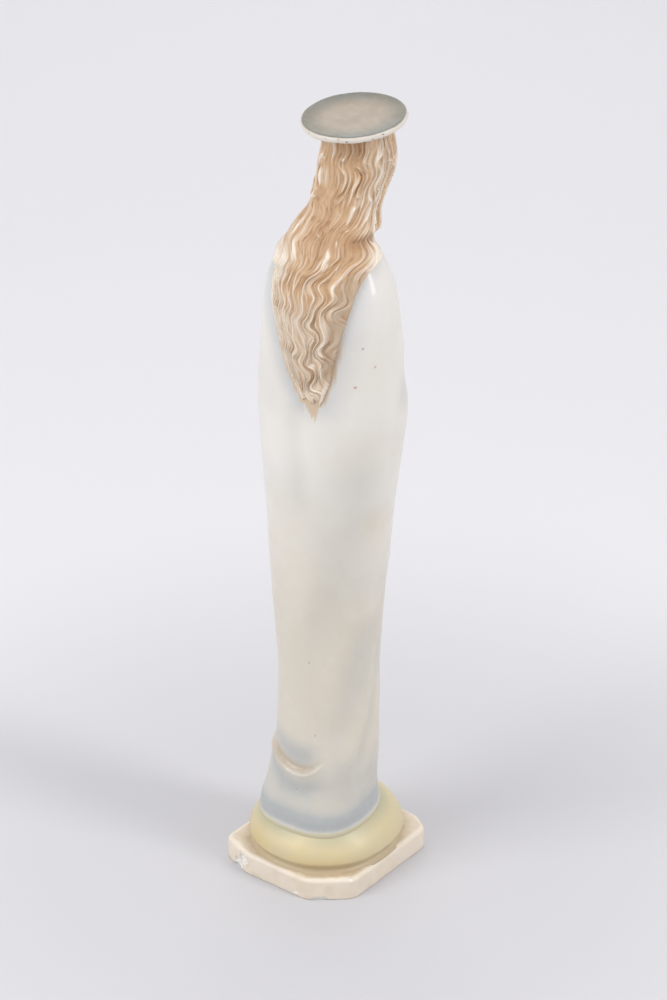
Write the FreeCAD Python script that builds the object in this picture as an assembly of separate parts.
"""Standing madonna figurine in cast ceramic, modelled as the castings it is luted together from.

Frame: millimetres, +Z up, origin at the centre of the plinth's underside. The figure faces -Y,
so its back is +Y and its own right-hand side is -X.

The castings, from the ground up: an eight-sided plinth with a vent hole, a domed mound that
plugs into it, a hollow gown standing on the mound, an open-fronted mantle hung over the gown,
two toe tips, two sleeves and two praying hands, a bowed head on a neck tenon, the long fall of
hair, and a dished halo on a peg through the crown.
"""

import FreeCAD
import Part

import math
import os

V = FreeCAD.Vector

# ---- driving dimensions -------------------------------------------------------------------
PLINTH_WIDTH = 57.0
PLINTH_DEPTH = 62.0
PLINTH_HEIGHT = 8.8
# Corner cuts as (along the back or front side, along the left or right side).
CUT_BACK_LEFT = (13.0, 5.0)
CUT_BACK_RIGHT = (13.7, 11.5)
CUT_FRONT_RIGHT = (8.0, 5.5)
CUT_FRONT_LEFT = (10.0, 9.0)
PLINTH_CORNER_ROUND = 3.0
PLINTH_TOP_ROUND = 1.5
PLINTH_FOOT_ROUND = 0.5
VENT_RADIUS = 5.0
VENT_CENTRE = V(0, 10.0, 0)  # behind the middle, so that the middle of the underside is solid

MOUND_HALF_WIDTH = 28.5
MOUND_HALF_DEPTH = 30.0
MOUND_WIDEST = 13.2  # height of the widest level
MOUND_RISE = 18.0  # from the widest level to the top of the dome
MOUND_DOME_POWER = 1.8
MOUND_TUCK = 3.5  # the rim rolls under by this much where it meets the plinth
MOUND_SQUARENESS = 2.1
MOUND_WALL = 4.5
SPIGOT_RADIUS = 20.0
SPIGOT_WALL = 4.0
SPIGOT_DEPTH = 2.5

LUTE_GAP = 0.1  # room left for slip between two castings
MANTLE_WALL = 3.0
GOWN_WALL = 3.2
RING_POINTS = 28

NECK_BASE = V(0, -7.0, 250.0)
HEAD_BOW = 28.0  # degrees forward of upright
TENON_RADIUS = 4.5
TENON_DEPTH = 7.0
COLLAR_RADIUS = 9.2  # round opening of the mantle at the neck
SHOULDER_HEIGHT = 241.0

# Head levels in the upright head frame: height, half width, depth behind, depth before.
HEAD_STATIONS = [
    (-2.0, 6.4, 6.4, 6.4),
    (3.0, 6.0, 6.0, 6.0),
    (6.0, 6.2, 6.4, 8.6),
    (8.6, 7.4, 7.6, 12.6),
    (12.5, 9.0, 10.0, 14.0),
    (18.0, 10.0, 12.4, 14.4),
    (24.0, 10.4, 13.4, 13.8),
    (30.0, 9.8, 12.6, 12.6),
    (35.0, 7.2, 9.6, 9.4),
    (37.2, 3.4, 4.6, 4.6),
]
HEAD_SQUARENESS = 2.1

HALO_RADIUS = 18.5
HALO_THICKNESS = 2.2
HALO_DISH = 0.7
HALO_TILT = 7.9  # degrees, leaning back
HALO_CENTRE = V(0, -16.0, 290.2)  # middle of the underside
PEG_RADIUS = 2.0
PEG_INTO_HEAD = 7.0
PEG_INTO_HALO = 1.0

# Body stations: height, centre x, half width, depth behind the centre, depth before it, centre y.
BODY_STATIONS = [
    (10.0, 0.3, 20.1, 19.3, 19.1, 4.2),
    (18.0, 0.3, 21.2, 20.0, 20.1, 4.3),
    (25.0, 0.4, 22.1, 21.0, 21.5, 3.6),
    (36.0, 0.3, 20.0, 20.0, 20.0, 1.8),
    (50.0, -0.1, 19.4, 19.6, 19.4, -0.4),
    (64.0, -0.2, 18.9, 18.9, 18.7, -1.9),
    (80.0, -0.1, 18.9, 18.5, 18.5, -2.5),
    (101.0, 0.1, 20.4, 18.8, 19.1, -2.7),
    (126.0, 0.4, 22.3, 19.2, 20.1, -2.7),
    (151.0, 0.5, 24.1, 19.7, 21.5, -3.1),
    (175.0, 0.7, 26.6, 20.4, 23.4, -3.7),
    (190.0, 0.6, 27.9, 20.4, 23.9, -4.1),
    (205.0, 0.4, 27.2, 19.4, 22.8, -3.6),
    (220.0, -0.1, 26.2, 18.5, 21.0, -3.1),
    (233.0, -0.3, 24.8, 17.4, 18.7, -2.9),
    (241.0, -0.1, 22.3, 15.2, 16.1, -3.2),
    (247.0, 0.2, 18.7, 12.2, 13.0, -3.9),
    (250.5, 0.1, 14.6, 9.8, 10.2, -4.8),
    (252.6, 0.0, 8.9, 7.4, 7.7, -5.6),
]
BACK_SQUARENESS = 2.35
FRONT_SQUARENESS = 2.2

# How much shallower than the mantle the gown's front is, by height: the chest sits back behind
# the forearms, and below the elbows the gown follows the mantle.
CHEST_RECESS = [(10, 0.0), (120, 0.0), (160, 2.0), (190, 6.5), (225, 5.5), (240, 3.0), (247, 0.0), (253, 0.0)]

# Front opening of the mantle: height, half width.
OPENING = [(0, 13.0), (60, 10.0), (130, 8.5), (178, 9.0), (192, 14.0), (214, 13.0), (232, 10.5), (246, 9.0), (262, 9.0)]

# Hair stations: height, centre x, half width, centre y, half depth.
HAIR_STATIONS = [
    (198.0, -6.6, 2.2, 14.6, 3.2),
    (203.0, -5.6, 5.6, 13.0, 5.6),
    (211.0, -4.0, 10.0, 11.0, 8.2),
    (224.0, -1.4, 16.4, 7.0, 11.8),
    (236.0, 0.0, 20.8, 2.6, 14.6),
    (247.0, 0.0, 19.5, -1.5, 13.6),
    (250.5, 0.0, 17.1, -2.4, 12.6),
    (256.0, 0.0, 14.7, -6.4, 12.3),
    (262.0, 0.0, 12.4, -10.4, 12.8),
    (268.0, 0.0, 12.3, -13.9, 13.8),
    (275.0, 0.0, 12.4, -17.0, 14.0),
    (281.0, 0.0, 12.0, -17.9, 13.5),
    (286.5, 0.0, 10.9, -17.9, 12.3),
    (290.5, 0.0, 8.6, -17.7, 9.8),
]
HAIR_SQUARENESS = 2.2
# The face shows through a window in the hair, in the upright head frame.
FACE_WINDOW_WIDTH = 60.0
FACE_WINDOW_BACK = -7.0
FACE_WINDOW_LOW = -22.0
FACE_WINDOW_TALL = 60.0

# Toe tips of the figure's left foot: y, height, half width, half height; and their middle's x.
FOOT_STATIONS = [
    (-13.0, 26.2, 3.7, 3.4),
    (-18.5, 25.6, 3.9, 3.2),
    (-22.8, 24.0, 3.5, 2.6),
    (-25.4, 22.6, 2.0, 1.5),
]
FOOT_OFFSET = 6.2

# Left sleeve from inside the mantle to the cuff: x, y, height, half width.
SLEEVE_STATIONS = [
    (17.5, -13.0, 187.0, 5.4),
    (11.6, -18.5, 197.0, 5.6),
    (5.4, -23.0, 206.5, 5.2),
]
SLEEVE_TALLNESS = 1.15  # half height of the sleeve against its half width

# Hands held palm to palm: height, y, half depth, half thickness.
HAND_STATIONS = [
    (205.0, -23.4, 2.8, 2.3),
    (211.0, -24.6, 3.7, 2.5),
    (217.0, -25.6, 3.9, 2.3),
    (223.0, -26.4, 3.4, 1.9),
    (228.0, -27.0, 2.4, 1.4),
    (230.4, -27.3, 1.2, 0.8),
]
PALM_OFFSET = 0.7  # how far each hand's centre is from the middle plane, against its half thickness

REACH = 60.0  # longer than any wall it cuts through

X = V(1, 0, 0)
Y = V(0, 1, 0)
Z = V(0, 0, 1)


# ---- shared geometry ----------------------------------------------------------------------
def between(table, height):
    """Straight-line value at a height from a list of (height, value) pairs."""
    for (low, a), (high, b) in zip(table, table[1:]):
        if height <= high:
            share = max(0.0, (height - low) / (high - low))
            return a + (b - a) * share
    return table[-1][1]


def power(value, exponent):
    return math.copysign(abs(value) ** exponent, value)


def ring_points(height, centre_x, centre_y, width, back, front, back_square, front_square):
    """Points round a level superellipse whose back and front halves may differ in depth."""
    points = []
    for i in range(RING_POINTS):
        angle = 2 * math.pi * i / RING_POINTS
        c, s = math.cos(angle), math.sin(angle)
        depth, square = (back, back_square) if s >= 0 else (front, front_square)
        x = centre_x + width * power(c, 2 / square)
        y = centre_y + depth * power(s, 2 / square)
        points.append(V(x, y, height))
    return points


def oval(centre, side, rise, half_side, half_rise, squareness=2.0, count=16):
    """Points round an oval about a centre, in the plane of two unit directions."""
    points = []
    for i in range(count):
        angle = 2 * math.pi * i / count
        across = half_side * power(math.cos(angle), 2 / squareness)
        up = half_rise * power(math.sin(angle), 2 / squareness)
        points.append(centre + side * across + rise * up)
    return points


def closed_wire(points):
    curve = Part.BSplineCurve()
    curve.interpolate(Points=points, PeriodicFlag=True)
    return Part.Wire([curve.toShape()])


def loft(rings):
    solid = Part.makeLoft([closed_wire(points) for points in rings], True, False)
    return Part.Solid(solid) if solid.ShapeType == "Shell" else solid


def largest(shape):
    """The biggest solid of a cut, which leaves any sliver behind."""
    return max(shape.Solids, key=lambda solid: solid.Volume)


def cut_all(shape, others):
    for other in others:
        shape = shape.cut(other)
    return largest(shape)


def half_space(side):
    """Everything on one side of the middle plane, less half the gap between two castings."""
    reach = 400.0
    near = side * LUTE_GAP / 2
    corner = V(near if side > 0 else near - reach, -reach / 2, -reach / 2)
    return Part.makeBox(reach, reach, reach * 2, corner)


def cylinder(radius, start, direction, length):
    return Part.makeCylinder(radius, length, start, direction)


def bowed(shape):
    """Carries a shape from the upright head frame to its bowed place on the neck."""
    turned = shape.copy()
    turned.rotate(V(0, 0, 0), V(1, 0, 0), HEAD_BOW)
    turned.translate(NECK_BASE)
    return turned


# ---- plinth and mound ---------------------------------------------------------------------
def plinth_outline():
    w, d = PLINTH_WIDTH / 2, PLINTH_DEPTH / 2
    corners = [
        (w, d, CUT_BACK_LEFT),
        (-w, d, CUT_BACK_RIGHT),
        (-w, -d, CUT_FRONT_RIGHT),
        (w, -d, CUT_FRONT_LEFT),
    ]
    points = []
    for i, (x, y, (cut_x, cut_y)) in enumerate(corners):
        on_end = V(x - math.copysign(cut_x, x), y, 0)
        on_side = V(x, y - math.copysign(cut_y, y), 0)
        points += [on_side, on_end] if i % 2 == 0 else [on_end, on_side]
    return points


def plinth():
    points = plinth_outline()
    slab = Part.Face(Part.makePolygon(points + [points[0]])).extrude(V(0, 0, PLINTH_HEIGHT))
    upright = [e for e in slab.Edges if abs(e.tangentAt(e.FirstParameter).z) > 0.9]
    slab = slab.makeFillet(PLINTH_CORNER_ROUND, upright)
    top = [e for e in slab.Edges if e.BoundBox.ZMin > PLINTH_HEIGHT - 0.01]
    slab = slab.makeFillet(PLINTH_TOP_ROUND, top)
    foot = [e for e in slab.Edges if e.BoundBox.ZMax < 0.01]
    slab = slab.makeFillet(PLINTH_FOOT_ROUND, foot)
    vent = cylinder(VENT_RADIUS, VENT_CENTRE - Z, Z, PLINTH_HEIGHT + 2)
    seat_floor = V(0, 0, PLINTH_HEIGHT - SPIGOT_DEPTH - LUTE_GAP)
    seat = cylinder(SPIGOT_RADIUS + LUTE_GAP, seat_floor, Z, SPIGOT_DEPTH + 1)
    return slab.cut(vent).cut(seat)


def mound_profile():
    """(height, share of full width) up the dome, from the rolled-under rim to the top."""
    tuck = MOUND_WIDEST - PLINTH_HEIGHT
    levels = []
    for share_down in (1.0, 0.85, 0.5):
        rolled = 1 - math.sqrt(1 - share_down ** 2)
        levels.append((MOUND_WIDEST - tuck * share_down, 1 - rolled * MOUND_TUCK / MOUND_HALF_WIDTH))
    for share_up in (0.0, 0.2, 0.4, 0.6, 0.78, 0.9):
        width = (1 - share_up ** MOUND_DOME_POWER) ** (1 / MOUND_DOME_POWER)
        levels.append((MOUND_WIDEST + MOUND_RISE * share_up, width))
    return levels


def mound_volume(inset=0.0, lower=0.0):
    rings = []
    for height, share in mound_profile():
        w = MOUND_HALF_WIDTH * share - inset
        d = MOUND_HALF_DEPTH * share - inset
        rings.append(ring_points(height - lower, 0, 0, w, d, d, MOUND_SQUARENESS, MOUND_SQUARENESS))
    return loft(rings)


def mound():
    hollow = mound_volume(inset=MOUND_WALL, lower=MOUND_WALL)
    spigot_foot = V(0, 0, PLINTH_HEIGHT - SPIGOT_DEPTH)
    spigot = cylinder(SPIGOT_RADIUS, spigot_foot, Z, SPIGOT_DEPTH + 1)
    bore = cylinder(SPIGOT_RADIUS - SPIGOT_WALL, spigot_foot, Z, SPIGOT_DEPTH + 2)
    drain = cylinder(VENT_RADIUS, VENT_CENTRE + Z * PLINTH_HEIGHT, Z, REACH)
    return largest(mound_volume().fuse(spigot).cut(hollow).cut(bore).cut(drain))


# ---- gown, mantle and feet ----------------------------------------------------------------
def body_volume(inset=0.0, top_drop=0.0, recess_chest=False):
    """The draped figure's volume, drawn in by an inset all round and lowered at the shoulders."""
    highest = BODY_STATIONS[-1][0]
    rings = []
    for height, centre_x, width, back, front, centre_y in BODY_STATIONS:
        if recess_chest:
            front = front - between(CHEST_RECESS, height)
        drop = top_drop * max(0.0, (height - SHOULDER_HEIGHT) / (highest - SHOULDER_HEIGHT))
        w, b, f = width - inset, back - inset, front - inset
        rings.append(ring_points(height - drop, centre_x, centre_y, w, b, f, BACK_SQUARENESS, FRONT_SQUARENESS))
    return loft(rings)


def opening_volume():
    """Prism through the mantle's front, wide over the forearms and narrower below."""
    right = [V(-half, 0, height) for height, half in OPENING]
    left = [V(half, 0, height) for height, half in reversed(OPENING)]
    face = Part.Face(Part.makePolygon(right + left + [right[0]]))
    return face.extrude(V(0, -REACH, 0))


def mantle(mound_body, gown_body):
    cloak = body_volume().cut(gown_body)
    collar = cylinder(COLLAR_RADIUS, NECK_BASE - Z * TENON_DEPTH * 2, Z, REACH)
    return largest(cloak.cut(opening_volume()).cut(collar).cut(mound_body))


def gown_volume():
    return body_volume(inset=MANTLE_WALL + LUTE_GAP, top_drop=MANTLE_WALL, recess_chest=True)


def gown(mound_body):
    inner = body_volume(inset=MANTLE_WALL + GOWN_WALL, top_drop=MANTLE_WALL + GOWN_WALL, recess_chest=True)
    socket = bowed(cylinder(TENON_RADIUS + LUTE_GAP, V(0, 0, -TENON_DEPTH - 1), Z, REACH))
    return largest(gown_volume().cut(inner).cut(mound_body).cut(socket))


def foot(side, others):
    """Toe tip showing under the hem: side is +1 for the figure's left."""
    rings = [oval(V(side * FOOT_OFFSET, y, z), X, Z, wide, tall) for y, z, wide, tall in FOOT_STATIONS]
    return cut_all(loft(rings), others)


# ---- arms and hands -----------------------------------------------------------------------
def sleeve(side, others):
    """Forearm in its sleeve, from inside the mantle to the cuff under the joined hands."""
    stations = [(V(side * x, y, height), radius) for x, y, height, radius in SLEEVE_STATIONS]
    along = (stations[-1][0] - stations[0][0]).normalize()
    across = along.cross(Z).normalize()
    rise = across.cross(along).normalize()
    rings = [oval(centre, across, rise, radius, radius * SLEEVE_TALLNESS) for centre, radius in stations]
    return largest(cut_all(loft(rings), others).common(half_space(side)))


def hand(side, others):
    """One praying hand: a flat palm at the middle plane, tapering up to the fingertips."""
    rings = []
    for height, y, half_depth, half_thick in HAND_STATIONS:
        centre = V(side * half_thick * PALM_OFFSET, y, height)
        rings.append(oval(centre, X, Y, half_thick, half_depth))
    return largest(cut_all(loft(rings), others).common(half_space(side)))


# ---- head, hair and halo ------------------------------------------------------------------
def head_volume():
    """Neck, jaw, face and skull, lofted upright in the head's own frame and then bowed."""
    rings = []
    for height, width, back, front in HEAD_STATIONS:
        rings.append(ring_points(height, 0, 0, width, back, front, HEAD_SQUARENESS, HEAD_SQUARENESS))
    return bowed(loft(rings))


def halo_pose(shape):
    """Carries a shape from the halo's own frame, underside at the origin, to its place."""
    posed = shape.copy()
    posed.rotate(V(0, 0, 0), X, -HALO_TILT)
    posed.translate(HALO_CENTRE)
    return posed


def halo():
    """Dished disc: a shallow ball-shaped hollow on top, rounded rim, socket for the peg."""
    disc = cylinder(HALO_RADIUS, V(0, 0, 0), Z, HALO_THICKNESS)
    disc = disc.makeFillet(HALO_THICKNESS * 0.45, [e for e in disc.Edges if e.Closed])
    dish_radius = HALO_RADIUS - HALO_THICKNESS
    ball_radius = (dish_radius ** 2 + HALO_DISH ** 2) / (2 * HALO_DISH)
    ball = Part.makeSphere(ball_radius, V(0, 0, HALO_THICKNESS - HALO_DISH + ball_radius))
    socket = cylinder(PEG_RADIUS + LUTE_GAP, V(0, 0, -1), Z, 1 + PEG_INTO_HALO)
    return halo_pose(disc.cut(ball).cut(socket))


def halo_peg():
    length = PEG_INTO_HEAD + PEG_INTO_HALO - LUTE_GAP
    return halo_pose(cylinder(PEG_RADIUS, V(0, 0, -PEG_INTO_HEAD), Z, length))


def peg_hole():
    return halo_pose(cylinder(PEG_RADIUS + LUTE_GAP, V(0, 0, -PEG_INTO_HEAD - LUTE_GAP), Z, REACH))


def above_halo_seat():
    """Everything over the halo's underside, so that the crown ends flat against the disc."""
    return halo_pose(Part.makeBox(REACH * 2, REACH * 2, REACH, V(-REACH, -REACH, -LUTE_GAP / 2)))


def hair_fall(others):
    """Hair from the crown round the head and down the back to a point."""
    rings = []
    for height, x, width, y, depth in HAIR_STATIONS:
        rings.append(ring_points(height, x, y, width, depth, depth, HAIR_SQUARENESS, HAIR_SQUARENESS))
    corner = V(-FACE_WINDOW_WIDTH / 2, FACE_WINDOW_BACK - REACH, FACE_WINDOW_LOW)
    face_window = bowed(Part.makeBox(FACE_WINDOW_WIDTH, REACH, FACE_WINDOW_TALL, corner))
    return cut_all(loft(rings), [face_window, above_halo_seat()] + others)


def build():
    """Every casting by name. Later ones are cut back where they meet earlier ones."""
    mound_solid = mound_volume()
    gown_solid = gown_volume()
    body_solid = body_volume()
    head_solid = head_volume()
    neck_tenon = bowed(cylinder(TENON_RADIUS, V(0, 0, -TENON_DEPTH), Z, TENON_DEPTH + 2))

    parts = {}
    parts["plinth"] = plinth()
    parts["mound"] = mound()
    parts["gown"] = gown(mound_solid)
    parts["mantle"] = mantle(mound_solid, gown_solid)
    skull = cut_all(head_solid, [gown_solid]).fuse(neck_tenon)
    parts["head"] = cut_all(skull, [peg_hole(), above_halo_seat(), parts["mantle"]])
    parts["hair_fall"] = hair_fall([head_solid, body_solid, peg_hole()])
    parts["halo"] = halo()
    parts["halo_peg"] = halo_peg()
    for name, side in (("left", 1), ("right", -1)):
        parts[name + "_foot"] = foot(side, [mound_solid, gown_solid, parts["mantle"]])
        parts[name + "_sleeve"] = sleeve(side, [gown_solid, parts["mantle"]])
        parts[name + "_hand"] = hand(side, [gown_solid, parts[name + "_sleeve"]])
    return parts


def main():
    os.makedirs("parts", exist_ok=True)
    for name, shape in build().items():
        shape.exportStep(os.path.join("parts", name + ".step"))


main()
